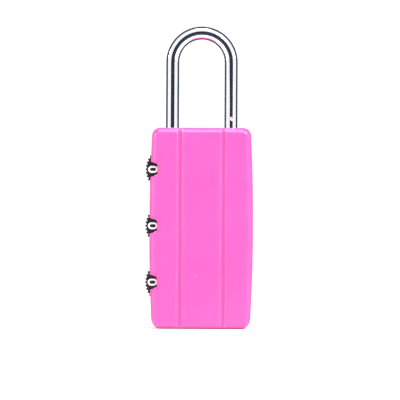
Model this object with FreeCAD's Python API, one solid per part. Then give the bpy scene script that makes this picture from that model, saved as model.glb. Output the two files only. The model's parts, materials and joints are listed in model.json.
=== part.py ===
"""Luggage combination padlock with three side dials: one STEP file for each separate piece, in parts/.

Millimetres. +Z points up to the shackle, -Y is the front face and -X the side where the dials stand out.
The origin is the centre of the lock body's flat base.
The body is two moulded half shells around a die-cast chassis. A slide bar hooks the long leg of the shackle
and has one tab for each dial's tumbler. A tumbler lets its tab pass only when its flat faces the bar.
A reset plate behind the tumblers pushes them out of mesh with the dials, so that a new code can be set.
"""
import FreeCAD, Part
import math
import os

V = FreeCAD.Vector
FAR = 30.0               # longer than any distance inside the lock, for cutters that go right through

# ---- Lock body
BODY_H = 46.0            # height of the body without the shackle
BODY_W = 23.7            # width at mid height, where the sides bulge most
SIDE_BULGE = 0.6         # how much narrower each side is at the top and bottom
BODY_T = 13.0
TOP_CORNER_R = 1.9
BASE_CORNER_R = 2.3
RIM_R = 1.7              # rounding of the edge round each face
SIDE_WALL = 1.2
END_WALL = 1.5
CAVITY_Y = 5.0           # the hollow runs from -CAVITY_Y to +CAVITY_Y
CAVITY_CORNER_R = 1.1
LIP_T = 0.5              # tongue on the rear shell that enters the front shell
LIP_H = 0.8
LIP_GAP = 0.05
SEAM_V = 0.16            # small V groove where the shells meet
GROOVE_X = 4.95          # the two long decorative grooves of each face
GROOVE_DEPTH = 0.42
GROOVE_R = 0.6

# ---- Shackle
WIRE_R = 1.5
LEG_X = 6.7              # the legs stand at -LEG_X (short) and +LEG_X (long)
SHACKLE_TOP = 69.3
SHORT_LEG_END = 41.2
LONG_LEG_END = 3.45
LEG_TIP_CHAMFER = 0.4
LIFT = 7.0               # travel from closed to open
HOOK_GROOVE_Z = (5.2, 6.4)
HOOK_CORE_R = 0.95
CATCH_Z = 30.0           # shallow ring groove for the catch spring
CATCH_DEPTH = 0.3
CATCH_R = 0.7
PUNCH_MARK_Z = 48.2      # small press mark on the long leg just above the body
PUNCH_MARK_R = 0.62
PUNCH_MARK_OUT = 0.42    # the mark's ball is centred this far outside the wire
PUNCH_MARK_ANGLE = -83   # from +X towards the rear, so the mark is near the front
LEG_HOLE_R = 1.62
LEG_HOLE_SINK = 0.2
LEG_GUIDE_R = 1.6
LEG_RIB_Z = (19.0, 37.5) # two ribs of the front shell guide the long leg
LEG_RIB_H = 1.4
LEG_RIB_BACK = -0.4

# ---- Dials, tumblers and their posts, all on axes along Y
DIAL_X = -7.5
DIAL_Z = (10.65, 23.55, 36.45)
DIAL_R = 5.3
DIAL_ROOT_R = 4.98
DIAL_TEETH = 40
DIAL_TOOTH_SHARE = 0.58  # the part of the tooth pitch that the tooth takes
DIAL_Y = (-4.85, -2.65)
DIAL_CHAMFER = 0.3
DIGITS = 10
DIGIT_STEP = 360.0 / DIGITS
DIGIT_R = 3.6            # radius of the middle of each numeral
DIGIT_W = 1.56
DIGIT_H = 2.16
DIGIT_STROKE = 0.41
DIGIT_ENGRAVED = 0.15
DIGIT_PROUD = 0.03
SPLINE_Y = -3.75         # the dial's inner splines run from here to its rear face
SPLINE_TIP_R = 1.95
SPLINE_ROOT_R = 1.58
SPLINE_W = 0.52
SPLINE_GAP = 0.06
DIAL_FRONT_BORE_R = 2.1
CLICK_R = 3.6            # circle of the click dimples in the dial's rear face
CLICK_DIMPLE_R = 0.4
CLICK_DIMPLE_RAISE = 0.1
TUMBLER_FRONT = -3.7
TUMBLER_REAR = 2.0
CAM_R = 2.75
CAM_Y = (-1.0, 0.3)
CAM_FLAT = 1.65          # distance of the flat from the axis
HUB_R = 1.9
HUB_FLAT = 1.6
POST_R = 0.8
POST_BASE_R = 1.1
POST_SHOULDER = 0.8
POST_TIP = -5.5
RUNNING_GAP = 0.05
SPRING_SEAT = -1.2
SPRING_BORE_R = 1.25
SPRING_R = 1.02
SPRING_WIRE_R = 0.12
SPRING_WIRE_SIDES = 8
SPRING_TURNS = 4.5
SPRING_END_GAP = 0.02
END_GAP = 0.05           # room past the ends of posts and splines

# ---- Slide bar
BAR_X = (-4.4, -1.0)
BAR_Y = (-0.95, 0.2)
BAR_Z = (4.6, 34.7)
ARM_Z = (4.6, 7.0)
TAB_TIP = 1.8            # distance of the tab's tip from the tumbler's axis
TAB_BELOW = 2.25         # distance of the tab's top below the tumbler's axis
TAB_H = 1.2
BAR_GAP = 0.06           # the bar's play against the ribs before and behind it
BAR_RIB_X = (-2.0, -1.1) # the front shell's rib that the bar slides on
BAR_RIB_Z = (8.0, 41.0)
FORK_Z = (5.3, 6.3)
FORK_HALF_Y = 1.42
FORK_END_X = 7.6
FORK_SLOT = 1.0
FORK_GAP = 0.04          # how far the fork stays inside the wire's outline
ARM_GAP = 0.15           # from the arm's end to the wire
NECK_OVERLAP = 0.6

# ---- Chassis
PLATE_Y = (3.4, 4.5)
PLATE_X = 9.7
PLATE_Z = (1.7, 44.35)
PLATE_CHAMFER = 1.0
HEAD_BLOCK_Z = (41.75, 44.35)
FOOT_BLOCK_Z = (1.7, 3.4)
BLOCK_X = 9.2
BLOCK_FRONT = -4.5
BLOCK_UNDER_DIAL = -2.3  # the head block's lower part keeps clear of the top dial
RAIL_RIBS_X = ((-4.3, -3.4), (-1.9, 0.0))
RAIL_WALL_X = (-0.9, 0.0)
RAIL_Z = (3.4, 41.75)
PAD_X = (-5.05, -4.45)
PAD_ABOVE = 4.95         # each left guide pad starts this far above a dial's axis
PAD_BELOW = 3.6          # and ends this far below the next one
TROUGH_X = (4.7, 8.7)
TROUGH_Z = (20.0, 41.75)
TROUGH_FRONT = 0.4
HEAD_STEP = 0.4          # the head block's front part starts this much higher
RAIL_WALL_ROOM = 0.3     # from the raised bar's arm to the rail wall

# ---- Screws
SCREW_X = 2.1
SCREW_Z = (18.2, 28.2, 38.2)
SCREW_R = 0.9
SCREW_CLEAR_R = 1.05
SCREW_HEAD_R = 1.6
SCREW_HEAD_Y = (3.5, 4.4)
SCREW_TIP = -2.6
CROSS_HALF_W = 0.22      # the heads' cross recess
CROSS_REACH = 1.0
CROSS_DEPTH = 0.5
SCREW_BOSS_R = 1.75
BOSS_MEET_Y = 0.55       # the front shell's bosses meet the chassis bosses here

# ---- Reset plate and button
RESET_X = (-9.7, -5.3)
RESET_Y = (2.2, 3.2)
RESET_Z = (6.6, 39.6)
RESET_POCKET = 0.5
RESET_GAP = 0.1          # play of the hubs in their pockets and of the posts in their holes
RESET_BOSS_R = 0.9       # the two bosses of the front shell that hold the return springs
RESET_BOSS_END = -0.4
RESET_SPRING_FROM = -1.6
RESET_SPRING_R = 0.44
RESET_SPRING_TURNS = 6.5
RESET_SEAT_GAP = 0.18
RESET_SEAT = 0.15        # depth of the springs' seats in the reset plate
BUTTON_Z = 30.0
BUTTON_R = 1.1
BUTTON_END = 5.7
BUTTON_SPIGOT_R = 0.6
BUTTON_SPIGOT_FROM = 2.6
BUTTON_GAP = 0.15
BUTTON_SINK = 0.5

# ---- Click spring (dials) and catch spring (shackle)
CLICK_Y = (-2.5, -2.25)
CLICK_SPINE_X = (-3.3, -2.4)
CLICK_FINGER_X = -4.5
CLICK_FINGER_W = 1.7
CLICK_BUMP_R = 0.35
CLICK_ENDS = 1.4
STAKE_X = -2.85
STAKE_R = 0.36
STAKE_BOSS_R = 0.75
STAKE_END = -1.9
CATCH_T = 0.25
CATCH_W_Y = (-0.95, 0.2)
CATCH_X = 4.1
CATCH_PEAK_X = 5.33
CATCH_HALF = 6.2         # half length of the catch spring
CATCH_RISE = 2.2         # half length of its bump
CATCH_BEND_R = 0.35
HOLDER_H = 1.3           # the two slotted blocks that hold its ends
HOLDER_X = (3.5, 4.75)
HOLDER_GAP = 0.02

# ---- Dial windows in the front shell
WINDOW_X = -10.1         # inner end of the notch that shows the numeral
WINDOW_HALF = 1.25
WINDOW_SLOPE = 0.34      # its sides open towards the edge of the body
WINDOW_CORNER_R = 0.45
WINDOW_LAND_Y = -5.4     # the bevel ends here, the rest of the wall is straight
BEVEL_X = 0.9            # the bevel's size on the face, inwards and to each side
BEVEL_Z = 0.5
WINDOW_OUT_X = -13.5
SLOT_GAP = 0.15          # room between a dial's teeth and its slot
SLOT_Y = (-5.05, -2.45)
OVER = 0.1               # how far cutters and joined pieces run past a face


def box(x, y, z):
    """A block from pairs of low and high limits."""
    return Part.makeBox(x[1] - x[0], y[1] - y[0], z[1] - z[0], V(x[0], y[0], z[0]))


def rod_y(radius, y, x, z):
    """A cylinder along Y from y[0] to y[1]."""
    return Part.makeCylinder(radius, y[1] - y[0], V(x, y[0], z), V(0, 1, 0))


def rod_z(radius, z, x, y=0.0):
    """A cylinder along Z from z[0] to z[1]."""
    return Part.makeCylinder(radius, z[1] - z[0], V(x, y, z[0]), V(0, 0, 1))


def prism_y(wire, y):
    """The area inside a wire that lies at Y = 0, as a solid from y[0] to y[1]."""
    face = Part.Face(wire)
    face.translate(V(0, y[0], 0))
    return face.extrude(V(0, y[1] - y[0], 0))


def turned(shape, angle, x=DIAL_X, z=0.0):
    """A copy turned about the axis along Y through x and z."""
    copy = shape.copy()
    copy.rotate(V(x, 0, z), V(0, 1, 0), angle)
    return copy


def moved(shape, x=0.0, y=0.0, z=0.0):
    copy = shape.copy()
    copy.translate(V(x, y, z))
    return copy


def joined(shapes):
    """All the shapes as one clean solid."""
    return shapes[0].multiFuse(shapes[1:]).removeSplitter()


def cut_all(shape, tools):
    return shape.cut(Part.makeCompound(tools))


# ---------------------------------------------------------------- shells

def body_block(inset, end_inset, y, top_r, base_r):
    """The body's outline with bulging sides, drawn in by the insets, as a block with rounded corners."""
    end_x = BODY_W / 2 - SIDE_BULGE - inset
    mid_x = BODY_W / 2 - inset
    low, high = end_inset, BODY_H - end_inset
    edges = [
        Part.LineSegment(V(-end_x, 0, low), V(end_x, 0, low)).toShape(),
        Part.Arc(V(end_x, 0, low), V(mid_x, 0, BODY_H / 2), V(end_x, 0, high)).toShape(),
        Part.LineSegment(V(end_x, 0, high), V(-end_x, 0, high)).toShape(),
        Part.Arc(V(-end_x, 0, high), V(-mid_x, 0, BODY_H / 2), V(-end_x, 0, low)).toShape(),
    ]
    block = prism_y(Part.Wire(edges), y)
    corners = [e for e in block.Edges if e.BoundBox.XLength < 1e-6 and e.BoundBox.ZLength < 1e-6]
    block = block.makeFillet(top_r, [e for e in corners if e.BoundBox.ZMin > BODY_H / 2])
    corners = [e for e in block.Edges if e.BoundBox.XLength < 1e-6 and e.BoundBox.ZLength < 1e-6
               and e.BoundBox.ZMax < 1.0 + end_inset and abs(e.BoundBox.XMin) > end_x - 1e-3]
    return block.makeFillet(base_r, corners)


def outer_form():
    """The body's outside as one solid, with rounded rims."""
    form = body_block(0.0, 0.0, (-BODY_T / 2, BODY_T / 2), TOP_CORNER_R, BASE_CORNER_R)
    return form.makeFillet(RIM_R, [e for e in form.Edges if e.BoundBox.YLength < 1e-6])


def face_grooves():
    """Cutters for the two long grooves of the front face and of the rear face."""
    axis_y = BODY_T / 2 - GROOVE_DEPTH + GROOVE_R
    return [rod_z(GROOVE_R, (-1.0, BODY_H + 1.0), sx * GROOVE_X, sy * axis_y)
            for sx in (-1, 1) for sy in (-1, 1)]


def seam_groove(form):
    """A thin V groove round the body where the shells meet."""
    inner = body_block(SEAM_V, SEAM_V, (-SEAM_V, SEAM_V), TOP_CORNER_R - SEAM_V, BASE_CORNER_R - SEAM_V)
    band = form.common(box((-BODY_W, BODY_W), (-SEAM_V / 2, SEAM_V / 2), (-1, BODY_H + 1)))
    return band.cut(inner)


def leg_holes():
    """Cutters for the two leg holes in the top wall, with a small countersink."""
    tools = []
    for x in (-LEG_X, LEG_X):
        tools.append(rod_z(LEG_HOLE_R, (BODY_H - END_WALL - 1, BODY_H + 1), x))
        tools.append(Part.makeCone(LEG_HOLE_R, LEG_HOLE_R + LEG_HOLE_SINK, LEG_HOLE_SINK,
                                   V(x, 0, BODY_H - LEG_HOLE_SINK)))
    return tools


def hollow_form():
    """The body with its hollow, grooves, seam and leg holes, before it is split into shells."""
    form = outer_form()
    hollow = body_block(SIDE_WALL, END_WALL, (-CAVITY_Y, CAVITY_Y), CAVITY_CORNER_R, CAVITY_CORNER_R)
    return cut_all(form, [hollow, seam_groove(form)] + face_grooves() + leg_holes())


def lip_ring(gap):
    """The tongue along the seam: the inner part of the wall, grown by a gap where it is used as a cutter."""
    keep = SIDE_WALL - LIP_T - gap
    outer = body_block(keep, keep + END_WALL - SIDE_WALL, (-LIP_H - gap, 0), CAVITY_CORNER_R, CAVITY_CORNER_R)
    inner = body_block(SIDE_WALL, END_WALL, (-LIP_H - gap - 1, 1), CAVITY_CORNER_R, CAVITY_CORNER_R)
    return outer.cut(inner)


def window_wire(grow_x, grow_z, z):
    """The notch outline round a dial's numeral: a wedge with rounded inner corners, open towards -X."""
    inner = WINDOW_X + grow_x
    half = WINDOW_HALF + grow_z
    out_half = half + WINDOW_SLOPE * (inner - WINDOW_OUT_X)
    r = WINDOW_CORNER_R
    slant = math.atan(WINDOW_SLOPE)
    turn = (math.pi / 2 - slant) / 2              # half the turn at each inner corner
    reach = r * math.tan(turn)
    on_side = V(inner - reach * math.cos(slant), 0, half + reach * math.sin(slant))
    on_end = V(inner, 0, half - reach)
    centre = V(inner - r, 0, half - reach)
    middle_angle = (math.pi / 2 - slant) / 2
    arc_mid = centre + V(r * math.cos(middle_angle), 0, r * math.sin(middle_angle))

    def low(p):
        return V(p.x, 0, -p.z)

    far = V(WINDOW_OUT_X, 0, out_half)
    edges = [
        Part.LineSegment(low(far), low(on_side)).toShape(),
        Part.Arc(low(on_side), low(arc_mid), low(on_end)).toShape(),
        Part.LineSegment(low(on_end), on_end).toShape(),
        Part.Arc(on_end, arc_mid, on_side).toShape(),
        Part.LineSegment(on_side, far).toShape(),
        Part.LineSegment(far, low(far)).toShape(),
    ]
    wire = Part.Wire(edges)
    wire.translate(V(0, 0, z))
    return wire


def window_cutters(z):
    """The notch, its bevel on the face, and the slot in the side wall for one dial."""
    face_y = -BODY_T / 2 - OVER
    rise = (WINDOW_LAND_Y - face_y) / (WINDOW_LAND_Y + BODY_T / 2)
    small = window_wire(0.0, 0.0, z)
    straight = prism_y(small, (WINDOW_LAND_Y, -CAVITY_Y + OVER))
    near = small.copy()
    near.translate(V(0, WINDOW_LAND_Y, 0))
    wide = window_wire(BEVEL_X * rise, BEVEL_Z * rise, z)
    wide.translate(V(0, face_y, 0))
    bevel = Part.makeLoft([near, wide], True, True)
    return [straight, bevel, rod_y(DIAL_R + SLOT_GAP, SLOT_Y, DIAL_X, z)]


def between_dials():
    """Heights half way between neighbouring dials, where stakes and return springs have room."""
    return [(low + high) / 2 for low, high in zip(DIAL_Z, DIAL_Z[1:])]


def front_cover(form):
    """Front half shell: dial windows, post sockets, screw bosses, and ribs that hold the bar and the leg."""
    front = form.common(box((-FAR, FAR), (-FAR, 0), (-FAR, 2 * FAR)))
    wall_y = -CAVITY_Y - OVER
    inside = (wall_y, BOSS_MEET_Y)
    extras = [rod_y(SCREW_BOSS_R, inside, SCREW_X, z) for z in SCREW_Z]
    extras += [rod_y(STAKE_BOSS_R, (wall_y, CLICK_Y[0]), STAKE_X, z) for z in between_dials()]
    extras += [rod_y(STAKE_R, (wall_y, STAKE_END), STAKE_X, z) for z in between_dials()]
    extras += [rod_y(RESET_BOSS_R, (wall_y, RESET_BOSS_END), DIAL_X, z) for z in between_dials()]
    extras.append(box(BAR_RIB_X, (wall_y, BAR_Y[0] - BAR_GAP), BAR_RIB_Z))
    leg_ribs = [box((LEG_X - LEG_GUIDE_R, LEG_X + LEG_GUIDE_R), (wall_y, LEG_RIB_BACK), (z, z + LEG_RIB_H))
                for z in LEG_RIB_Z]
    extras += [rib.cut(rod_z(LEG_GUIDE_R, (0, BODY_H), LEG_X)) for rib in leg_ribs]
    front = joined([front] + extras)
    tools = [rod_y(POST_R + RUNNING_GAP, (POST_TIP - END_GAP, 0), DIAL_X, z) for z in DIAL_Z]
    tools += [rod_y(SCREW_R, (SCREW_TIP, FAR), SCREW_X, z) for z in SCREW_Z]
    tools += [rod_y(RESET_SPRING_R + RESET_SEAT_GAP, (RESET_SPRING_FROM, FAR), DIAL_X, z)
              for z in between_dials()]
    for z in DIAL_Z:
        tools += window_cutters(z)
    tools.append(lip_ring(LIP_GAP))
    return cut_all(front, tools)


def rear_cover(form):
    """Rear half shell with the tongue of the seam and the hole to the reset button."""
    rear = form.common(box((-FAR, FAR), (0, FAR), (-FAR, 2 * FAR)))
    lip = cut_all(lip_ring(0.0), leg_holes())
    hole = rod_y(BUTTON_R + BUTTON_GAP, (CAVITY_Y - 1, BODY_T), DIAL_X, BUTTON_Z)
    sink = Part.makeCone(BUTTON_R + BUTTON_GAP, BUTTON_R + BUTTON_GAP + BUTTON_SINK, BUTTON_SINK,
                         V(DIAL_X, BODY_T / 2 - BUTTON_SINK, BUTTON_Z), V(0, 1, 0))
    return cut_all(joined([rear, lip]), [hole, sink])


# ---------------------------------------------------------------- shackle

def shackle():
    """Bent wire with a short and a long leg. The long leg has the hook groove and the catch groove."""
    bend_z = SHACKLE_TOP - WIRE_R - LEG_X
    circle = Part.Wire(Part.makeCircle(WIRE_R, V(-LEG_X, 0, SHORT_LEG_END), V(0, 0, 1)))
    path = Part.Wire([
        Part.LineSegment(V(-LEG_X, 0, SHORT_LEG_END), V(-LEG_X, 0, bend_z)).toShape(),
        Part.Arc(V(-LEG_X, 0, bend_z), V(0, 0, bend_z + LEG_X), V(LEG_X, 0, bend_z)).toShape(),
        Part.LineSegment(V(LEG_X, 0, bend_z), V(LEG_X, 0, LONG_LEG_END)).toShape(),
    ])
    wire = path.makePipeShell([circle], True, True)
    tips = [e for e in wire.Edges if e.BoundBox.ZLength < 1e-6
            and min(abs(e.BoundBox.ZMin - z) for z in (SHORT_LEG_END, LONG_LEG_END)) < 1e-6]
    wire = wire.makeChamfer(LEG_TIP_CHAMFER, tips)
    hook = rod_z(WIRE_R + 1, HOOK_GROOVE_Z, LEG_X).cut(rod_z(HOOK_CORE_R, (0, BODY_H), LEG_X))
    catch = Part.makeTorus(WIRE_R + CATCH_R - CATCH_DEPTH, CATCH_R, V(LEG_X, 0, CATCH_Z), V(0, 0, 1))
    angle = math.radians(PUNCH_MARK_ANGLE)
    reach = WIRE_R + PUNCH_MARK_OUT
    mark_at = V(LEG_X + reach * math.cos(angle), reach * math.sin(angle), PUNCH_MARK_Z)
    mark = Part.makeSphere(PUNCH_MARK_R, mark_at)
    return cut_all(wire, [hook, catch, mark])


def locking_slider():
    """The bar that rises with the shackle: a spine, a tab for each tumbler and a fork for the hook groove."""
    spine = box(BAR_X, BAR_Y, BAR_Z)
    arm_end = LEG_X - WIRE_R - ARM_GAP
    arm = box((BAR_X[0], arm_end), BAR_Y, ARM_Z)
    neck = box((arm_end - NECK_OVERLAP, LEG_X - FORK_SLOT), BAR_Y, FORK_Z)
    fork = rod_z(WIRE_R - FORK_GAP, FORK_Z, LEG_X)
    fork = fork.common(box((0, FORK_END_X), (-FORK_HALF_Y, FORK_HALF_Y), FORK_Z))
    slot = joined([rod_z(FORK_SLOT, FORK_Z, LEG_X), box((LEG_X, FAR), (-FORK_SLOT, FORK_SLOT), FORK_Z)])
    tabs = [box((DIAL_X + TAB_TIP, BAR_X[1]), BAR_Y, (z - TAB_BELOW - TAB_H, z - TAB_BELOW)) for z in DIAL_Z]
    return joined([spine, arm, neck, fork] + tabs).cut(slot)


# ---------------------------------------------------------------- dials

def polar(radius, angle):
    """A point round the dial's axis, in the plane Y = 0. Angles are in degrees from +X towards +Z."""
    a = math.radians(angle)
    return V(DIAL_X + radius * math.cos(a), 0, radius * math.sin(a))


def toothed_disc():
    """The dial's rim of rounded teeth, with both rims bevelled."""
    pitch = 360.0 / DIAL_TEETH
    flank = DIAL_TOOTH_SHARE * pitch / 2
    flank_r = (DIAL_R + DIAL_ROOT_R) / 2
    edges = []
    for tooth in range(DIAL_TEETH):
        middle = 180.0 + tooth * pitch
        start, end = polar(flank_r, middle - flank), polar(flank_r, middle + flank)
        following = polar(flank_r, middle + pitch - flank)
        edges.append(Part.Arc(start, polar(DIAL_R, middle), end).toShape())
        edges.append(Part.Arc(end, polar(DIAL_ROOT_R, middle + pitch / 2), following).toShape())
    disc = prism_y(Part.Wire(edges), DIAL_Y)
    blank = rod_y(DIAL_R, DIAL_Y, DIAL_X, 0)
    return disc.common(blank.makeChamfer(DIAL_CHAMFER, [e for e in blank.Edges if e.BoundBox.YLength < 1e-6]))


def splines(tip_r, root_r, width, y):
    """A splined shaft on the dial's axis, with one tooth for each digit."""
    ribs = [turned(box((DIAL_X, DIAL_X + tip_r + 1), y, (-width / 2, width / 2)), i * DIGIT_STEP)
            for i in range(DIGITS)]
    teeth = joined(ribs).common(rod_y(tip_r, y, DIAL_X, 0))
    return joined([rod_y(root_r, y, DIAL_X, 0), teeth])


def stroke_line(a, b, y):
    """A straight pen stroke with round ends between two points, given across and along the numeral."""
    r = DIGIT_STROKE / 2
    (ax, az), (bx, bz) = a, b
    length = math.hypot(bx - ax, bz - az)
    middle = box((0, length), y, (-r, r))
    middle.rotate(V(0, 0, 0), V(0, 1, 0), -math.degrees(math.atan2(bz - az, bx - ax)))
    middle.translate(V(ax, 0, az))
    return joined([middle, rod_y(r, y, ax, az), rod_y(r, y, bx, bz)])


def stroke_arc(centre, radius, start, end, y):
    """A round pen stroke with round ends, from one angle to another, anticlockwise."""
    r = DIGIT_STROKE / 2
    (cx, cz) = centre
    ring = Part.makeCylinder(radius + r, y[1] - y[0], V(0, 0, 0), V(0, 0, 1), end - start)
    ring = ring.cut(Part.makeCylinder(radius - r, y[1] - y[0], V(0, 0, 0), V(0, 0, 1), 360))
    ring.rotate(V(0, 0, 0), V(0, 0, 1), start)
    ring.rotate(V(0, 0, 0), V(1, 0, 0), 90)
    ring.translate(V(cx, y[1], cz))
    if end - start >= 360:
        return ring
    caps = [rod_y(r, y, cx + radius * math.cos(math.radians(a)), cz + radius * math.sin(math.radians(a)))
            for a in (start, end)]
    return joined([ring] + caps)


def numeral(digit, y):
    """One numeral, upright about the origin, as a plate from y[0] to y[1]."""
    w = (DIGIT_W - DIGIT_STROKE) / 2      # half width and half height of the pen's path
    h = (DIGIT_H - DIGIT_STROKE) / 2
    b = h / 2                             # radius of the two bowls of a 3 or an 8
    line, arc = stroke_line, stroke_arc
    paths = {
        0: [arc((0, h - w), w, 0, 180, y), arc((0, w - h), w, 180, 360, y),
            line((-w, w - h), (-w, h - w), y), line((w, w - h), (w, h - w), y)],
        1: [line((0.1, -h), (0.1, h), y), line((0.1, h), (-0.28, h - 0.34), y)],
        2: [arc((0, h - w), w, -35, 180, y),
            line((w * math.cos(math.radians(-35)), h - w + w * math.sin(math.radians(-35))), (-w, -h), y),
            line((-w, -h), (w, -h), y)],
        3: [arc((0, b), b, -90, 150, y), arc((0, -b), b, -150, 90, y)],
        4: [line((0.22, -h), (0.22, h), y), line((0.22, h), (-w, -0.3), y), line((-w, -0.3), (w, -0.3), y)],
        5: [line((w - 0.08, h), (-0.4, h), y), line((-0.4, h), (-0.46, 0.06), y),
            arc((0, w - h), w, -150, 125, y), line((-0.46, 0.06), (-0.32, w - h + 0.46), y)],
        6: [arc((0, w - h), w, 0, 360, y), line((-w, w - h), (-w, h - w), y), arc((0, h - w), w, 40, 180, y)],
        7: [line((-w, h), (w, h), y), line((w, h), (-0.18, -h), y)],
        8: [arc((0, b), b, 0, 360, y), arc((0, -b), b, 0, 360, y)],
    }
    if digit == 9:
        shape = numeral(6, y)
        shape.rotate(V(0, 0, 0), V(0, 1, 0), 180)
        return shape
    return joined(paths[digit])


def numeral_ring(y):
    """The ten numerals in place round the dial's axis, tops outward, with 0 towards -X."""
    ring = []
    for digit in range(DIGITS):
        plate = numeral(digit, y)
        plate.rotate(V(0, 0, 0), V(0, 1, 0), -90)
        plate.translate(V(DIAL_X - DIGIT_R, 0, 0))
        ring.append(turned(plate, digit * DIGIT_STEP))
    return ring


def dial():
    """One number dial at Z = 0: toothed rim, engraved numerals, splined bore and click dimples behind."""
    bore = splines(SPLINE_TIP_R + SPLINE_GAP, SPLINE_ROOT_R + SPLINE_GAP, SPLINE_W + 2 * SPLINE_GAP,
                   (DIAL_Y[0] - 1, DIAL_Y[1] + 1))
    front_bore = rod_y(DIAL_FRONT_BORE_R, (DIAL_Y[0] - 1, SPLINE_Y), DIAL_X, 0)
    dimple_base = V(0, DIAL_Y[1] + CLICK_DIMPLE_RAISE, 0)
    dimples = [Part.makeSphere(CLICK_DIMPLE_R, polar(CLICK_R, i * DIGIT_STEP) + dimple_base)
               for i in range(DIGITS)]
    engraving = numeral_ring((DIAL_Y[0] - 0.5, DIAL_Y[0] + DIGIT_ENGRAVED))
    return cut_all(cut_all(toothed_disc(), [bore, front_bore]), dimples + engraving)


def tumbler():
    """One tumbler at Z = 0: splines that mesh with the dial, a cam with its flat, and a hub for the plate."""
    shaft = rod_y(SPLINE_ROOT_R, (TUMBLER_FRONT, CAM_Y[0]), DIAL_X, 0)
    splined = splines(SPLINE_TIP_R, SPLINE_ROOT_R, SPLINE_W, (TUMBLER_FRONT, DIAL_Y[1] - END_GAP))
    cam = rod_y(CAM_R, CAM_Y, DIAL_X, 0).cut(box((DIAL_X + CAM_FLAT, FAR), CAM_Y, (-FAR, FAR)))
    hub = rod_y(HUB_R, (CAM_Y[1], TUMBLER_REAR), DIAL_X, 0)
    hub = hub.common(box((DIAL_X - HUB_FLAT, DIAL_X + HUB_FLAT), (0, FAR), (-FAR, FAR)))
    bores = [rod_y(POST_R + RUNNING_GAP, (-FAR, FAR), DIAL_X, 0),
             rod_y(SPRING_BORE_R, (-FAR, SPRING_SEAT), DIAL_X, 0),
             rod_y(POST_BASE_R + RUNNING_GAP, (POST_SHOULDER, FAR), DIAL_X, 0)]
    return cut_all(joined([shaft, splined, cam, hub]), bores)


def dial_post():
    """Stepped steel post of one dial at Z = 0, riveted in the chassis plate."""
    return joined([rod_y(POST_R, (POST_TIP, POST_SHOULDER), DIAL_X, 0),
                   rod_y(POST_BASE_R, (POST_SHOULDER, PLATE_Y[1]), DIAL_X, 0)])


def coil_y(radius, y, turns, x, z):
    """A compression spring of thin wire along Y, lying just between y[0] and y[1]."""
    inset = SPRING_WIRE_R + SPRING_END_GAP
    length = y[1] - y[0] - 2 * inset
    helix = Part.makeHelix(length / turns, length, radius)
    steps = [2 * math.pi * (i + 0.5) / SPRING_WIRE_SIDES for i in range(SPRING_WIRE_SIDES)]
    corners = [V(radius + SPRING_WIRE_R * math.cos(a), 0, SPRING_WIRE_R * math.sin(a)) for a in steps]
    section = Part.makePolygon(corners + corners[:1])
    coil = Part.Wire(helix.Edges).makePipeShell([section], True, True)
    coil.rotate(V(0, 0, 0), V(1, 0, 0), 90)
    coil.translate(V(x, y[1] - inset, z))
    return coil


def tumbler_spring():
    """Compression spring at Z = 0, from the front shell to the seat in the tumbler."""
    return coil_y(SPRING_R, (-CAVITY_Y, SPRING_SEAT), SPRING_TURNS, DIAL_X, 0)


# ---------------------------------------------------------------- chassis and the rest

def chassis():
    """Die-cast chassis: rear plate, end blocks, bar rail with guide pads, leg trough, screw bosses."""
    plate = box((-PLATE_X, PLATE_X), PLATE_Y, PLATE_Z)
    plate = plate.makeChamfer(PLATE_CHAMFER, [e for e in plate.Edges
                                              if e.BoundBox.XLength < 1e-6 and e.BoundBox.ZLength < 1e-6])
    depth = (BLOCK_FRONT, PLATE_Y[0])
    bar_back = (BAR_Y[1] + BAR_GAP, PLATE_Y[0])
    solids = [plate,
              box((-BLOCK_X, BLOCK_X), (BLOCK_UNDER_DIAL, PLATE_Y[0]), HEAD_BLOCK_Z),
              box((-BLOCK_X, BLOCK_X), depth, (HEAD_BLOCK_Z[0] + HEAD_STEP, HEAD_BLOCK_Z[1])),
              box((-BLOCK_X, BLOCK_X), depth, FOOT_BLOCK_Z),
              box(RAIL_WALL_X, (BAR_Y[0], PLATE_Y[0]), (ARM_Z[1] + LIFT + RAIL_WALL_ROOM, RAIL_Z[1])),
              box(TROUGH_X, (TROUGH_FRONT, PLATE_Y[0]), TROUGH_Z)]
    solids += [box(rib, bar_back, RAIL_Z) for rib in RAIL_RIBS_X]
    solids += [box(PAD_X, (BAR_Y[0], PLATE_Y[0]), (low + PAD_ABOVE, high - PAD_BELOW))
               for low, high in zip(DIAL_Z, DIAL_Z[1:])]
    solids += [rod_y(SCREW_BOSS_R, (BOSS_MEET_Y, PLATE_Y[0]), SCREW_X, z) for z in SCREW_Z]
    solids += [box(HOLDER_X, (CATCH_W_Y[0], PLATE_Y[0]), heights) for heights in catch_holder_heights()]
    tools = [rod_z(LEG_GUIDE_R, (FOOT_BLOCK_Z[1], BODY_H), LEG_X),
             rod_z(LEG_GUIDE_R, (SHORT_LEG_END - 1, BODY_H), -LEG_X),
             rod_y(BUTTON_R + BUTTON_GAP, (PLATE_Y[0], FAR), DIAL_X, BUTTON_Z)]
    tools += [rod_y(POST_BASE_R, (PLATE_Y[0], FAR), DIAL_X, z) for z in DIAL_Z]
    for z in SCREW_Z:
        tools.append(rod_y(SCREW_CLEAR_R, (-FAR, FAR), SCREW_X, z))
        tools.append(rod_y(SCREW_HEAD_R + OVER, (SCREW_HEAD_Y[0], FAR), SCREW_X, z))
    slot_half = CATCH_T / 2 + HOLDER_GAP
    tools += [box((CATCH_X - slot_half, CATCH_X + slot_half), (-FAR, CATCH_W_Y[1] + HOLDER_GAP), heights)
              for heights in catch_holder_heights()]
    return cut_all(joined(solids), tools)


def catch_holder_heights():
    """Low and high limits of the two slotted blocks that hold the catch spring's ends."""
    return [(CATCH_Z - CATCH_HALF, CATCH_Z - CATCH_HALF + HOLDER_H),
            (CATCH_Z + CATCH_HALF - HOLDER_H, CATCH_Z + CATCH_HALF)]


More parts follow.
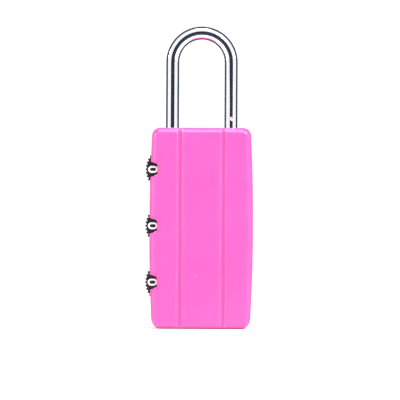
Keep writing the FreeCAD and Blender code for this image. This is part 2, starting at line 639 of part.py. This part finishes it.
def catch_spring():
    """Leaf spring with a bump that rests in the long leg's catch groove."""
    low, high = CATCH_Z - CATCH_HALF, CATCH_Z + CATCH_HALF
    bends = [(0, low), (0, CATCH_Z - CATCH_RISE), (CATCH_PEAK_X - CATCH_X, CATCH_Z),
             (0, CATCH_Z + CATCH_RISE), (0, high)]
    near = [V(CATCH_X - CATCH_T / 2 + x, 0, z) for x, z in bends]
    far = [V(CATCH_X + CATCH_T / 2 + x, 0, z) for x, z in reversed(bends)]
    leaf = prism_y(Part.makePolygon(near + far + near[:1]), CATCH_W_Y)
    corners = [e for e in leaf.Edges if e.BoundBox.ZLength < 1e-6 and e.BoundBox.XLength < 1e-6
               and low + HOLDER_H < e.BoundBox.ZMin < high - HOLDER_H]
    return leaf.makeFillet(CATCH_BEND_R, corners)


def click_spring():
    """Stamped strip with one finger and one bump behind each dial, staked to the front shell."""
    spine = box(CLICK_SPINE_X, CLICK_Y, (DIAL_Z[0] - CLICK_ENDS, DIAL_Z[-1] + CLICK_ENDS))
    half_w = CLICK_FINGER_W / 2
    fingers = [box((CLICK_FINGER_X, CLICK_SPINE_X[1]), CLICK_Y, (z - half_w, z + half_w)) for z in DIAL_Z]
    bump_x = DIAL_X + CLICK_R
    dome_y = (CLICK_Y[0] - CLICK_BUMP_R, CLICK_Y[0] + OVER)
    bumps = []
    for z in DIAL_Z:
        ball = Part.makeSphere(CLICK_BUMP_R, V(bump_x, CLICK_Y[0], z))
        bumps.append(ball.common(rod_y(CLICK_BUMP_R, dome_y, bump_x, z)))
    holes = [rod_y(STAKE_R, (-FAR, FAR), STAKE_X, z) for z in between_dials()]
    return cut_all(joined([spine] + fingers + bumps), holes)


def chassis_screws():
    """The cross-head screws that hold the chassis in the front shell, as one group."""
    screws = []
    for z in SCREW_Z:
        screw = joined([rod_y(SCREW_R, (SCREW_TIP, SCREW_HEAD_Y[0]), SCREW_X, z),
                        rod_y(SCREW_HEAD_R, SCREW_HEAD_Y, SCREW_X, z)])
        recess_y = (SCREW_HEAD_Y[1] - CROSS_DEPTH, FAR)
        cross = [box((SCREW_X - across, SCREW_X + across), recess_y, (z - up, z + up))
                 for across, up in ((CROSS_REACH, CROSS_HALF_W), (CROSS_HALF_W, CROSS_REACH))]
        screws.append(screw.cut(joined(cross)))
    return Part.makeCompound(screws)


def reset_plate():
    """Plate behind the tumblers, with a flat-sided pocket for each tumbler's hub."""
    plate = box(RESET_X, RESET_Y, RESET_Z)
    seat = (0, RESET_Y[0] + RESET_SEAT)
    tools = [rod_y(RESET_SPRING_R + RESET_SEAT_GAP, seat, DIAL_X, z) for z in between_dials()]
    tools.append(rod_y(BUTTON_SPIGOT_R, (BUTTON_SPIGOT_FROM, FAR), DIAL_X, BUTTON_Z))
    pocket_half = HUB_FLAT + RESET_GAP
    for z in DIAL_Z:
        tools.append(rod_y(POST_BASE_R + RESET_GAP, (0, FAR), DIAL_X, z))
        pocket = rod_y(HUB_R + RESET_GAP, (0, RESET_Y[0] + RESET_POCKET), DIAL_X, z)
        flats = box((DIAL_X - pocket_half, DIAL_X + pocket_half), (0, FAR), (-FAR, 2 * FAR))
        tools.append(pocket.common(flats))
    return cut_all(plate, tools)


def reset_springs():
    """The two return springs of the reset plate, as one group."""
    span = (RESET_SPRING_FROM, RESET_Y[0] + RESET_SEAT)
    return Part.makeCompound([coil_y(RESET_SPRING_R, span, RESET_SPRING_TURNS, DIAL_X, z)
                              for z in between_dials()])


def reset_button():
    """Round button on the reset plate, just below the surface of the rear shell."""
    return joined([rod_y(BUTTON_R, (RESET_Y[1], BUTTON_END), DIAL_X, BUTTON_Z),
                   rod_y(BUTTON_SPIGOT_R, (BUTTON_SPIGOT_FROM, RESET_Y[1]), DIAL_X, BUTTON_Z)])


def all_parts():
    """Every node's name and shape."""
    form = hollow_form()
    parts = {
        "front_cover": front_cover(form),
        "rear_cover": rear_cover(form),
        "chassis": chassis(),
        "shackle": shackle(),
        "locking_slider": locking_slider(),
        "dial_click_spring": click_spring(),
        "shackle_catch_spring": catch_spring(),
        "chassis_screws": chassis_screws(),
        "reset_plate": reset_plate(),
        "reset_springs": reset_springs(),
        "reset_button": reset_button(),
    }
    numerals = Part.makeCompound(numeral_ring((DIAL_Y[0] - DIGIT_PROUD, DIAL_Y[0] + DIGIT_ENGRAVED)))
    repeated = {"dial": dial(), "dial_numerals": numerals, "tumbler": tumbler(), "dial_post": dial_post(),
                "tumbler_spring": tumbler_spring()}
    for number, z in enumerate(DIAL_Z, start=1):
        for name, shape in repeated.items():
            parts[f"{name}_{number}"] = moved(shape, z=z)
    return parts


def main():
    os.makedirs("parts", exist_ok=True)
    for name, shape in all_parts().items():
        shape.exportStep(f"parts/{name}.step")
        print(f"{name}: valid {shape.isValid()}, {len(shape.Solids)} solids, {shape.Volume:.2f} mm3")


main()
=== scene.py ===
"""Studio scene of the luggage padlock: materials for the CAD nodes, light, floor and camera.

Sizes are in metres, in the frame of the CAD model: +Z up, -Y to the front, -X to the dials. In the materials,
places and distances on a piece are in millimetres.
"""
import bpy
import json
import math
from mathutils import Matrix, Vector


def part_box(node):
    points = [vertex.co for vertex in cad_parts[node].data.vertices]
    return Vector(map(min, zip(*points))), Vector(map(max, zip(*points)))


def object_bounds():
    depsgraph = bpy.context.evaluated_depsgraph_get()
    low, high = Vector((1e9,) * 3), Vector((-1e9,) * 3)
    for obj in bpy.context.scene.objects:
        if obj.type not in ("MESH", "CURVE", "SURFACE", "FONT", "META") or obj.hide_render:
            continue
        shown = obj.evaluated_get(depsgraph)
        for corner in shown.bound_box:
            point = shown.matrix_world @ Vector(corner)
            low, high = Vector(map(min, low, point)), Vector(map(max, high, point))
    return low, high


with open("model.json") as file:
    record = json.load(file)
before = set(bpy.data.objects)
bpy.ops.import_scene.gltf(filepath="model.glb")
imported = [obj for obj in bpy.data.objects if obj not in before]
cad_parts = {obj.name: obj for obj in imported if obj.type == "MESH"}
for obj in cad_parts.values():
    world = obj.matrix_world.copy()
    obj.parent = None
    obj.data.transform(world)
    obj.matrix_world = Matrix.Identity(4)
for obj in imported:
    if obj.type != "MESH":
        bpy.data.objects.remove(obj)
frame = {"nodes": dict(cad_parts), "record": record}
CAD_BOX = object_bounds()

MM = 0.001

# ---- Where the materials change on the lock, in mm. A pair says where a change begins and ends
GROOVE_X = 4.95                  # from the case's middle to the middle of each groove
# The grooves' painted shade: a deeper pink, fading out over this span from the groove's middle.
GROOVE_SHADE_SPAN = (0.1, 0.45)        # from the groove's middle
GROOVE_RIM = 0.62                # from the groove's middle to each of its rims
# The groove rims' painted highlight: a paler pink, fading out over this span from each rim.
GROOVE_RIM_HIGHLIGHT_SPAN = (0.06, 0.24)   # from the rim
SCUFFS_FROM = (4.9, 5.3)         # from the seam plane, where the rounding leaves the sides
SCUFFS_TO = (5.9, 6.05)          # from the seam plane, where the rounding nears the face
TOOTH_TIPS = (5.0, 5.25)         # from the dial's axis

# ---- Camera: level with the middle of the lock, a long lens straight at the front face
VIEW_WIDTH = 91.4 * MM           # width of the picture at the lock
VIEW_CENTRE = (-0.3 * MM, 29.5 * MM)     # X and Z of the picture's middle
CAMERA_DISTANCE = 1.6            # from the lock's front
CAMERA_ROLL = math.radians(0.3)
CAMERA_CLIP = (0.01, 50.0)
SENSOR = 36.0                    # mm, as Blender takes it

# ---- Floor and surround
FLOOR_SIZE = 8.0
FLOOR_COLOR = (0.97, 0.97, 0.97)
FLOOR_FIBRE_SHADE = 0.99         # times the floor's colour, in the paper's fibres
SKY_COLOR = (1.0, 1.0, 1.0)
SKY_STRENGTH = 1.1

# ---- Black cards. All but the right one lie between two cones with their tips in the middle of the
# ---- shackle's bend. The cones' angles are in degrees, from the way to the lens or straight back
SHACKLE_BEND_R = 8.2 * MM        # to the outside of the wire
BEND_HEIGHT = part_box("shackle")[1].z - SHACKLE_BEND_R
FRONT_CONES = (0.01, 32.0)       # nearly a full disc
FILL_CONES = (FRONT_CONES[1], 71.0)
REAR_CONES = (14.0, 86.0)
FRONT_CARD_Y = -2.2              # behind the camera
FILL_CARD_Y = -2.0               # also behind the camera
REAR_CARD_Y = 0.28               # behind the lock
LOW_CARD_LIFT = 0.0004           # height of the cards on the floor
RIGHT_CARD_SIZE = 2.6            # an upright square, facing the lock's right side
RIGHT_CARD_PLACE = (1.9, -0.1, 1.2)
CLOTH_COLOR = (0.028, 0.032, 0.045)      # chrome mirrors it as a blue-grey line
CLOTH_WEAVE_LIGHT = 1.3          # times the cloth's colour, in the palest threads

# ---- Square lamps: name, place, width and power in watts
LAMPS = (
    ("key_light", (0.85, -0.8, 1.15), 0.5, 26.0),
    ("top_light", (0.0, -0.5, 1.65), 0.9, 18.0),
    ("left_light", (-1.3, -0.4, 0.42), 0.35, 8.0),
    ("right_light", (1.3, -0.4, 0.42), 0.35, 2.0),
)

# ---- Sockets of the Mix node when it blends colours
MIX_FACTOR, MIX_A, MIX_B, MIX_RESULT = 0, 6, 7, 2


# ---------------------------------------------------------------- material helpers

def new_material(name):
    """An empty node material, its tree and its Principled shader."""
    material = bpy.data.materials.new(name)
    material.use_nodes = True
    tree = material.node_tree
    return material, tree, tree.nodes["Principled BSDF"]


def feed(tree, socket, value):
    """Gives a socket its value, which may be another node's output."""
    if isinstance(value, bpy.types.NodeSocket):
        tree.links.new(value, socket)
    else:
        socket.default_value = value


def add(tree, kind, inputs, **settings):
    """A node with its properties and its inputs set."""
    node = tree.nodes.new(kind)
    for key, value in settings.items():
        setattr(node, key, value)
    for key, value in inputs.items():
        feed(tree, node.inputs[key], value)
    return node


def connect(tree, shader, **sockets):
    """Sets the shader's sockets; underscores in the names stand for blanks."""
    for key, value in sockets.items():
        feed(tree, shader.inputs[key.replace("_", " ")], value)


def millimetres(tree, stretch=(1.0, 1.0, 1.0), turn=(0.0, 0.0, 0.0)):
    """The place on the piece in millimetres, turned and then stretched along each axis."""
    place = add(tree, "ShaderNodeTexCoord", {}).outputs["Object"]
    scale = tuple(1.0 / (MM * s) for s in stretch)
    mapping = add(tree, "ShaderNodeMapping", {"Vector": place, "Scale": scale, "Rotation": turn})
    return mapping.outputs["Vector"]


def axis(tree, letter):
    """One coordinate of the place on the piece, in millimetres."""
    return add(tree, "ShaderNodeSeparateXYZ", {"Vector": millimetres(tree)}).outputs[letter]


def noise(tree, vector, scale, detail=3.0, roughness=0.55):
    """Soft noise from 0 to 1, with `scale` cells for each millimetre."""
    inputs = {"Vector": vector, "Scale": scale, "Detail": detail, "Roughness": roughness}
    return add(tree, "ShaderNodeTexNoise", inputs).outputs["Fac"]


def calc(tree, operation, *values):
    """The result of a Math node."""
    return add(tree, "ShaderNodeMath", dict(enumerate(values)), operation=operation).outputs["Value"]


def remap(tree, value, span, to):
    """A value moved from one range to another and held inside it. A range is a pair of numbers."""
    inputs = {"Value": value, "From Min": span[0], "From Max": span[1], "To Min": to[0], "To Max": to[1]}
    return add(tree, "ShaderNodeMapRange", inputs).outputs["Result"]


def rising(tree, value, span):
    """0 below the range and 1 above it."""
    return remap(tree, value, span, to=(0.0, 1.0))


def falling(tree, value, span):
    """1 below the range and 0 above it."""
    return remap(tree, value, span, to=(1.0, 0.0))


def mix_colors(tree, factor, a, b):
    """A blend of two colours; either may be another node's output."""
    a, b = (color if isinstance(color, bpy.types.NodeSocket) else (*color, 1.0) for color in (a, b))
    inputs = {MIX_FACTOR: factor, MIX_A: a, MIX_B: b}
    return add(tree, "ShaderNodeMix", inputs, data_type="RGBA").outputs[MIX_RESULT]


def bump(tree, height, distance, normal=None):
    """A normal bent by a height map. `distance` is the height of 1.0, in metres."""
    inputs = {"Height": height, "Distance": distance, "Strength": 1.0}
    if normal is not None:
        inputs["Normal"] = normal
    return add(tree, "ShaderNodeBump", inputs).outputs["Normal"]


# ---------------------------------------------------------------- marks of use

def scratches(tree, angle, length, share, spacing=0.35, width=0.006):
    """Fine hairline scratches, 0 to 1, along one direction of the XZ plane. A higher `share` gives more."""
    vector = millimetres(tree, stretch=(length, 3.0, 1.0), turn=(0.0, angle, 0.0))
    level = noise(tree, vector, 1.0 / spacing, detail=1.0, roughness=0.4)
    off_middle = calc(tree, "ABSOLUTE", calc(tree, "SUBTRACT", level, 0.5))
    hair = falling(tree, off_middle, (0.0, width))
    patches = noise(tree, millimetres(tree), 0.12, detail=2.0)
    return calc(tree, "MULTIPLY", hair, rising(tree, patches, (0.72 - share, 0.88 - share)))


def edge_scuffs(tree):
    """0 to 1 in small scuffed patches on the rounded rims between the faces and the sides."""
    depth = calc(tree, "ABSOLUTE", axis(tree, "Y"))
    rim = calc(tree, "MULTIPLY", rising(tree, depth, SCUFFS_FROM), falling(tree, depth, SCUFFS_TO))
    spots = noise(tree, millimetres(tree), 2.6, detail=6.0, roughness=0.75)
    return calc(tree, "MULTIPLY", rim, rising(tree, spots, (0.55, 0.72)))


def dust(tree, cell=4.5, radius=0.03, share=0.4):
    """0 to 1 in a few tiny specks of the given size, at most one in each cell of the given width."""
    inputs = {"Vector": millimetres(tree), "Scale": 1.0 / cell}
    cells = add(tree, "ShaderNodeTexVoronoi", inputs, feature="F1")
    chance = add(tree, "ShaderNodeSeparateColor", {"Color": cells.outputs["Color"]}).outputs["Red"]
    speck = falling(tree, cells.outputs["Distance"], (radius * 0.6, radius))
    return calc(tree, "MULTIPLY", speck, calc(tree, "GREATER_THAN", chance, 1.0 - share))


def off_groove(tree):
    """Distance from the middle of the nearer groove, in millimetres."""
    side = calc(tree, "ABSOLUTE", axis(tree, "X"))
    return calc(tree, "ABSOLUTE", calc(tree, "SUBTRACT", side, GROOVE_X))


def groove_painted_shade(tree):
    """Painted shade: 0 to 1 in patches along the middle of the two long grooves, where the case is made a
    deeper pink.
    """
    patches = noise(tree, millimetres(tree, stretch=(1.0, 1.0, 2.5)), 0.45, detail=4.0, roughness=0.65)
    line = falling(tree, off_groove(tree), GROOVE_SHADE_SPAN)
    return calc(tree, "MULTIPLY", line, remap(tree, patches, (0.35, 0.65), to=(0.2, 0.8)))


def groove_rim_highlights(tree):
    """Painted highlight: 0 to 1 in patches along both rims of each groove, where the case is made a paler
    pink.
    """
    off_rim = calc(tree, "ABSOLUTE", calc(tree, "SUBTRACT", off_groove(tree), GROOVE_RIM))
    patches = noise(tree, millimetres(tree, stretch=(1.0, 1.0, 3.0)), 0.35, detail=4.0, roughness=0.6)
    line = falling(tree, off_rim, GROOVE_RIM_HIGHLIGHT_SPAN)
    return calc(tree, "MULTIPLY", line, remap(tree, patches, (0.35, 0.65), to=(0.25, 1.0)))


def tooth_tips(tree):
    """0 to 1 on the tips of the dials' teeth, by the distance from each dial's axis."""
    first, second = (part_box(f"dial_{number}") for number in (1, 2))
    centre_x, centre_z = ((first[0][i] + first[1][i]) / 2 / MM for i in (0, 2))
    pitch = (second[0].z - first[0].z) / MM
    across = calc(tree, "SUBTRACT", axis(tree, "X"), centre_x)
    above_first = calc(tree, "SUBTRACT", axis(tree, "Z"), centre_z)
    up = calc(tree, "WRAP", above_first, pitch / 2, -pitch / 2)
    squares = [calc(tree, "MULTIPLY", way, way) for way in (across, up)]
    radius = calc(tree, "SQRT", calc(tree, "ADD", *squares))
    return rising(tree, radius, TOOTH_TIPS)


# ---------------------------------------------------------------- materials

def case_plastic():
    """Pink moulded ABS: satin gloss, a very fine spark-eroded grain, faint flow clouds and scratches, with
    painted shade in the grooves and painted highlights on their rims.
    """
    pink, pale_pink = (0.77, 0.083, 0.368), (0.82, 0.094, 0.393)
    # Of these, the second is a deeper pink for the painted shade in the grooves, and the third a paler pink
    # for the painted highlight on the groove rims.
    scratched, groove_shade_pink, rub_wear_and_rim_highlight = (0.92, 0.36, 0.72), (0.80, 0.077, 0.345), (0.90, 0.24, 0.52)
    scuffed, dusty = (0.93, 0.42, 0.72), (0.95, 0.75, 0.88)
    material, tree, shader = new_material("case_pink_plastic")
    place = millimetres(tree)
    clouds = noise(tree, place, 0.09, detail=4.0, roughness=0.6)
    hair = calc(tree, "MAXIMUM", scratches(tree, angle=0.9, length=9.0, share=0.2),
                scratches(tree, angle=-0.35, length=12.0, share=0.16))
    scuffs = edge_scuffs(tree)
    color = mix_colors(tree, rising(tree, clouds, (0.3, 0.7)), pink, pale_pink)
    color = mix_colors(tree, calc(tree, "MULTIPLY", hair, 0.22), color, scratched)
    # Painted shade: a deeper pink in the middle of the grooves.
    color = mix_colors(tree, groove_painted_shade(tree), color, groove_shade_pink)
    # Painted highlight: a paler pink along the groove rims.
    color = mix_colors(tree, calc(tree, "MULTIPLY", groove_rim_highlights(tree), 0.5), color, rub_wear_and_rim_highlight)
    color = mix_colors(tree, calc(tree, "MULTIPLY", scuffs, 0.35), color, scuffed)
    color = mix_colors(tree, dust(tree), color, dusty)
    smears = noise(tree, millimetres(tree, stretch=(2.2, 2.2, 1.0)), 0.22, detail=5.0, roughness=0.65)
    rough = remap(tree, smears, (0.3, 0.72), to=(0.27, 0.36))
    rough = calc(tree, "ADD", rough, calc(tree, "MULTIPLY", hair, 0.12))
    rough = calc(tree, "ADD", rough, calc(tree, "MULTIPLY", scuffs, 0.15))
    waves = noise(tree, place, 0.16, detail=1.0)
    grain = noise(tree, place, 5.5, detail=2.0)
    normal = bump(tree, waves, 0.02 * MM)
    normal = bump(tree, grain, 0.0016 * MM, normal)
    normal = bump(tree, hair, -0.0008 * MM, normal)
    connect(tree, shader, Base_Color=color, Roughness=rough, Normal=normal, IOR=1.53, Subsurface_Weight=0.12,
            Subsurface_Radius=(0.9, 0.35, 0.6), Subsurface_Scale=0.6 * MM)
    return material


def shackle_chrome():
    """Bright chrome plate on bent wire: nearly a mirror, with rub marks, faint drawing lines along the legs
    and slightly duller rings round them."""
    # The duller colour here is real rub wear on the plating.
    bright, rub_wear_and_rim_highlight = (0.88, 0.90, 0.94), (0.80, 0.82, 0.86)
    material, tree, shader = new_material("shackle_chrome")
    place = millimetres(tree)
    rub = noise(tree, place, 0.55, detail=5.0, roughness=0.7)
    draw_lines = noise(tree, millimetres(tree, stretch=(0.12, 0.12, 5.0)), 1.0, detail=2.0)
    rings = noise(tree, millimetres(tree, stretch=(6.0, 6.0, 0.12)), 0.8, detail=1.0)
    ripples = noise(tree, place, 1.4, detail=2.0)
    color = mix_colors(tree, rising(tree, rub, (0.4, 0.8)), bright, rub_wear_and_rim_highlight)
    rough = remap(tree, rub, (0.35, 0.75), to=(0.035, 0.11))
    rough = calc(tree, "ADD", rough, remap(tree, rings, (0.6, 0.75), to=(0.0, 0.05)))
    normal = bump(tree, draw_lines, 0.0004 * MM)
    normal = bump(tree, ripples, 0.001 * MM, normal)
    connect(tree, shader, Base_Color=color, Metallic=1.0, Roughness=rough, Normal=normal)
    return material


def dial_black():
    """Black moulded acetal: satin, polished and paler on the teeth, where fingers turn it."""
    black, worn, tip_grey = (0.008, 0.006, 0.011), (0.017, 0.014, 0.022), (0.034, 0.029, 0.036)
    material, tree, shader = new_material("dial_black_plastic")
    place = millimetres(tree)
    wear = noise(tree, place, 0.9, detail=5.0, roughness=0.7)
    tips = calc(tree, "MULTIPLY", tooth_tips(tree), remap(tree, wear, (0.3, 0.7), to=(0.4, 1.0)))
    color = mix_colors(tree, rising(tree, wear, (0.45, 0.75)), black, worn)
    color = mix_colors(tree, tips, color, tip_grey)
    rough = remap(tree, wear, (0.3, 0.75), to=(0.55, 0.40))
    rough = calc(tree, "SUBTRACT", rough, calc(tree, "MULTIPLY", tips, 0.1))
    normal = bump(tree, noise(tree, place, 9.0, detail=2.0), 0.003 * MM)
    connect(tree, shader, Base_Color=color, Roughness=rough, Normal=normal, IOR=1.38)
    return material


def numeral_white():
    """White enamel run into the engraved numerals, with a few grey specks."""
    white, grey = (0.93, 0.93, 0.925), (0.70, 0.70, 0.69)
    material, tree, shader = new_material("numeral_white_enamel")
    place = millimetres(tree)
    specks = rising(tree, noise(tree, place, 7.0, detail=3.0), (0.68, 0.78))
    color = mix_colors(tree, specks, white, grey)
    rough = remap(tree, noise(tree, place, 3.0), (0.3, 0.7), to=(0.3, 0.45))
    normal = bump(tree, noise(tree, place, 4.0, detail=2.0), 0.006 * MM)
    connect(tree, shader, Base_Color=color, Roughness=rough, Normal=normal, IOR=1.5)
    return material


def metal(name, bright, dull, rough, grain_stretch, grain_height):
    """A plated, turned or stamped metal with grain along one axis and blotches of duller colour."""
    material, tree, shader = new_material(name)
    blotch = noise(tree, millimetres(tree), 0.8, detail=5.0, roughness=0.65)
    grain = noise(tree, millimetres(tree, stretch=grain_stretch), 1.0, detail=3.0)
    color = mix_colors(tree, rising(tree, blotch, (0.35, 0.7)), bright, dull)
    spread = remap(tree, grain, (0.3, 0.7), to=(rough - 0.06, rough + 0.08))
    normal = bump(tree, grain, grain_height)
    connect(tree, shader, Base_Color=color, Metallic=1.0, Roughness=spread, Normal=normal)
    return material


def chassis_zinc():
    """Raw zinc casting: grey, dull and slightly pitted."""
    dark, pale = (0.46, 0.47, 0.49), (0.62, 0.63, 0.64)
    material, tree, shader = new_material("chassis_zinc")
    place = millimetres(tree)
    skin = noise(tree, place, 1.6, detail=6.0, roughness=0.7)
    pits = rising(tree, noise(tree, place, 3.2, detail=2.0), (0.66, 0.74))
    color = mix_colors(tree, skin, dark, pale)
    rough = remap(tree, skin, (0.3, 0.7), to=(0.42, 0.6))
    normal = bump(tree, skin, 0.012 * MM)
    normal = bump(tree, pits, -0.02 * MM, normal)
    connect(tree, shader, Base_Color=color, Metallic=1.0, Roughness=rough, Normal=normal)
    return material


def all_materials():
    """The material of each slot in the record."""
    materials = {
        "case": case_plastic(),
        "shackle_chrome": shackle_chrome(),
        "dial_black": dial_black(),
        "numeral_white": numeral_white(),
        "chassis_zinc": chassis_zinc(),
    }
    # Bright colour, dull colour, roughness, the grain's stretch along each axis, and its height
    metals = {
        "stamped_steel": ((0.66, 0.66, 0.65), (0.5, 0.5, 0.5), 0.32, (0.1, 0.1, 4.0), 0.002 * MM),
        "spring_steel": ((0.62, 0.63, 0.65), (0.46, 0.46, 0.47), 0.26, (2.0, 2.0, 0.1), 0.001 * MM),
        "screw_steel": ((0.6, 0.61, 0.63), (0.42, 0.42, 0.44), 0.3, (3.0, 0.1, 3.0), 0.002 * MM),
        "post_steel": ((0.66, 0.67, 0.68), (0.52, 0.52, 0.53), 0.22, (3.0, 0.08, 3.0), 0.001 * MM),
        "tumbler_brass": ((0.78, 0.60, 0.30), (0.62, 0.45, 0.2), 0.26, (3.0, 0.1, 3.0), 0.002 * MM),
    }
    materials.update({slot: metal(slot, *look) for slot, look in metals.items()})
    return materials


def dress_nodes():
    """Gives each CAD node the material of its slot in the record."""
    materials = all_materials()
    for part in frame["record"]["subparts"]:
        node = frame["nodes"][part["node"]]
        node.data.materials.clear()
        node.data.materials.append(materials[part["material_slot"]])


# ---------------------------------------------------------------- studio

def place_object(name, data):
    """A new object in the scene."""
    thing = bpy.data.objects.new(name, data)
    bpy.context.scene.collection.objects.link(thing)
    return thing


def card(name, points, faces):
    """A thin card of any outline."""
    mesh = bpy.data.meshes.new(name)
    mesh.from_pydata(points, [], faces)
    sheet = place_object(name, mesh)
    return sheet


def square_card(name, size, location, facing):
    """A flat square card whose face looks along `facing`."""
    half = size / 2
    corners = [(-half, -half, 0), (half, -half, 0), (half, half, 0), (-half, half, 0)]
    sheet = card(name, corners, [(0, 1, 2, 3)])
    sheet.location = location
    sheet.rotation_euler = Vector(facing).to_track_quat("Z", "Y").to_euler()
    return sheet


def ring_card(name, cones, y, sides=96):
    """An upright ring at `y` between two cones."""
    around = [(math.cos(2 * math.pi * i / sides), math.sin(2 * math.pi * i / sides)) for i in range(sides)]
    radii = [abs(y) * math.tan(math.radians(angle)) for angle in cones]
    points = [(r * c, y, BEND_HEIGHT + r * s) for r in radii for c, s in around]
    following = [(i + 1) % sides for i in range(sides)]
    return card(name, points, [(i, j, sides + j, sides + i) for i, j in enumerate(following)])


def low_card(name, cones, reach, steps=40):
    """Two strips on the floor between two cones, out to `reach` along Y, where the floor hides a ring."""
    z = CAD_BOX[0].z + LOW_CARD_LIFT
    drop = BEND_HEIGHT - z
    slopes = [math.tan(math.radians(angle)) for angle in cones]
    near = drop / max(slopes)
    distances = [near * (abs(reach) / near) ** (i / steps) for i in range(steps + 1)]
    points, faces = [], []
    for side in (-1, 1):
        start = len(points)
        for slope in slopes:
            widths = [math.sqrt(max((slope * d) ** 2 - drop ** 2, 0.0)) for d in distances]
            points += [(side * w, math.copysign(d, reach), z) for w, d in zip(widths, distances)]
        faces += [(i, i + 1, i + steps + 2, i + steps + 1) for i in range(start, start + steps)]
    return card(name, points, faces)


def floor():
    """A pale matt floor, level with the base of the lock."""
    sheet = square_card("studio_floor", FLOOR_SIZE, (0, 0, CAD_BOX[0].z), (0, 0, 1))
    material, tree, shader = new_material("floor_paper")
    fibre = noise(tree, millimetres(tree), 0.4, detail=3.0)
    color = mix_colors(tree, fibre, FLOOR_COLOR, tuple(c * FLOOR_FIBRE_SHADE for c in FLOOR_COLOR))
    connect(tree, shader, Base_Color=color, Roughness=0.75)
    sheet.data.materials.append(material)


def black_cloth(name):
    """Matt black cloth."""
    material, tree, shader = new_material(name)
    weave = noise(tree, millimetres(tree), 0.5)
    color = mix_colors(tree, weave, CLOTH_COLOR, tuple(c * CLOTH_WEAVE_LIGHT for c in CLOTH_COLOR))
    connect(tree, shader, Base_Color=color, Roughness=0.95, Specular_IOR_Level=0.0)
    return material


def make_flag(sheet, shades, mirrored):
    """Turns a card into a photographer's black flag. The camera doesn't see it, and lamps shine through it.
    One that shades takes away some of the surround's diffuse light. Reflections show one that is mirrored."""
    sheet.data.materials.append(black_cloth(sheet.name + "_cloth"))
    sheet.visible_camera = False
    sheet.visible_transmission = False
    sheet.visible_shadow = False
    sheet.visible_diffuse = shades
    sheet.visible_glossy = mirrored


def flags():
    """The front and rear cards draw the dark lines on the chrome. The shading ones take away flat light, so
    that the lamps bring out the grooves and window bevels."""
    make_flag(ring_card("flag_front", FRONT_CONES, FRONT_CARD_Y), shades=True, mirrored=True)
    make_flag(low_card("flag_low_front", FRONT_CONES, FRONT_CARD_Y), shades=False, mirrored=True)
    make_flag(ring_card("flag_fill", FILL_CONES, FILL_CARD_Y), shades=True, mirrored=False)
    make_flag(ring_card("flag_rear", REAR_CONES, REAR_CARD_Y), shades=False, mirrored=True)
    make_flag(low_card("flag_low_rear", REAR_CONES, REAR_CARD_Y), shades=False, mirrored=True)
    right = square_card("flag_right", RIGHT_CARD_SIZE, RIGHT_CARD_PLACE, (-1, 0, 0))
    make_flag(right, shades=True, mirrored=False)


def softbox(name, location, size, power):
    """A soft square lamp aimed at the middle of the lock."""
    lamp = bpy.data.lights.new(name, "AREA")
    lamp.shape = "SQUARE"
    lamp.size = size
    lamp.energy = power
    box = place_object(name, lamp)
    box.location = location
    middle = (CAD_BOX[0] + CAD_BOX[1]) / 2
    box.rotation_euler = (middle - Vector(location)).to_track_quat("-Z", "Y").to_euler()


def surround():
    """A plain white world."""
    world = bpy.data.worlds.new("white_surround")
    world.use_nodes = True
    background = world.node_tree.nodes["Background"]
    background.inputs["Color"].default_value = (*SKY_COLOR, 1.0)
    background.inputs["Strength"].default_value = SKY_STRENGTH
    bpy.context.scene.world = world


def camera():
    """Straight at the front face, level, with the small roll that the lock is seen at."""
    data = bpy.data.cameras.new("camera")
    data.sensor_width = SENSOR
    data.lens = SENSOR * CAMERA_DISTANCE / VIEW_WIDTH
    data.clip_start, data.clip_end = CAMERA_CLIP
    eye = place_object("camera", data)
    eye.location = (VIEW_CENTRE[0], CAD_BOX[0].y - CAMERA_DISTANCE, VIEW_CENTRE[1])
    eye.rotation_euler = (math.radians(90), -CAMERA_ROLL, 0)
    bpy.context.scene.camera = eye


def studio():
    """Everything round the lock. The Standard view transform shows the white surround as white."""
    floor()
    flags()
    for lamp in LAMPS:
        softbox(*lamp)
    surround()
    camera()
    bpy.context.scene.view_settings.view_transform = "Standard"


dress_nodes()
studio()
